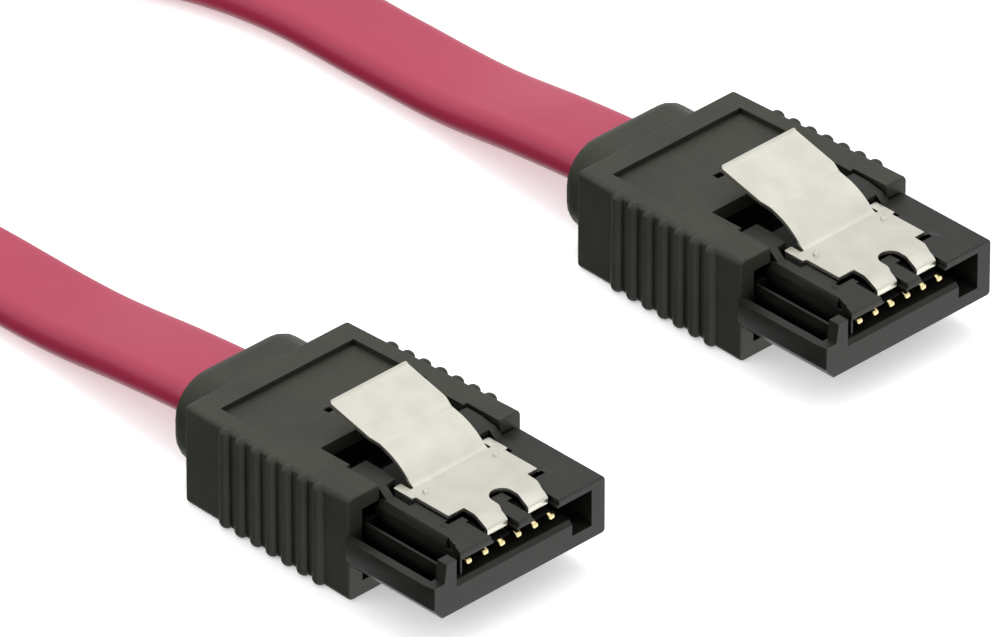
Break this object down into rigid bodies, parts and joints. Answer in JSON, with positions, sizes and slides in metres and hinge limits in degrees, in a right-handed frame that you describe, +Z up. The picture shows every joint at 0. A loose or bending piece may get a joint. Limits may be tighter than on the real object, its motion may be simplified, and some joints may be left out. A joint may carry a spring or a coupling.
{
  "type": "sata data cable",
  "caption": "Flat data cable folded into a tied loop, with a straight black plug at each end; sprung steel latch clips sit on top, and gold-plated contacts lie in an L-shaped slot.",
  "frame": {"origin": "centre of the two plugs' outline seen from above, at the height of the surface they lie on", "axes": "+X is the way both plugs point, +Y goes from the first plug to the second, +Z is up; the clips are on top"},
  "size_m": [0.1544, 0.0467, 0.0087],
  "materials": {
    "overmould": "matt soft-touch moulding",
    "housing": "satin hard moulding",
    "inner_mould": "matt",
    "clip": "satin stainless spring steel",
    "contact": "gold-plated, bright",
    "core": "smooth insulation",
    "drain": "tinned, bright",
    "cord": "semi-gloss flexible jacket",
    "tie": "matt coating over wire"
  },
  "bodies": {
    "cable": {"overmould_a": "overmould", "housing_a": "housing", "inner_mould_a": "inner_mould", "contact_1_a": "contact", "contact_2_a": "contact", "contact_3_a": "contact", "contact_4_a": "contact", "contact_5_a": "contact", "contact_6_a": "contact", "contact_7_a": "contact", "core_1_a": "core", "core_2_a": "core", "core_3_a": "core", "core_4_a": "core", "drain_1_a": "drain", "drain_2_a": "drain", "drain_3_a": "drain", "overmould_b": "overmould", "housing_b": "housing", "inner_mould_b": "inner_mould", "contact_1_b": "contact", "contact_2_b": "contact", "contact_3_b": "contact", "contact_4_b": "contact", "contact_5_b": "contact", "contact_6_b": "contact", "contact_7_b": "contact", "core_1_b": "core", "core_2_b": "core", "core_3_b": "core", "core_4_b": "core", "drain_1_b": "drain", "drain_2_b": "drain", "drain_3_b": "drain", "cord": "cord", "tie": "tie"},
    "latch_a": {"latch_clip_a": "clip"},
    "latch_b": {"latch_clip_b": "clip"}
  },
  "joints": [
    {"name": "latch_a_press", "type": "hinge", "parent": "cable", "child": "latch_a", "pos_m": [0.01191, -0.016, 0.00554], "axis": [0, -1, 0], "range_deg": [0, 3], "stiffness_Nm_per_rad": 0.1},
    {"name": "latch_b_press", "type": "hinge", "parent": "cable", "child": "latch_b", "pos_m": [0.00971, 0.0167, 0.00554], "axis": [0, -1, 0], "range_deg": [0, 3], "stiffness_Nm_per_rad": 0.1}
  ]
}
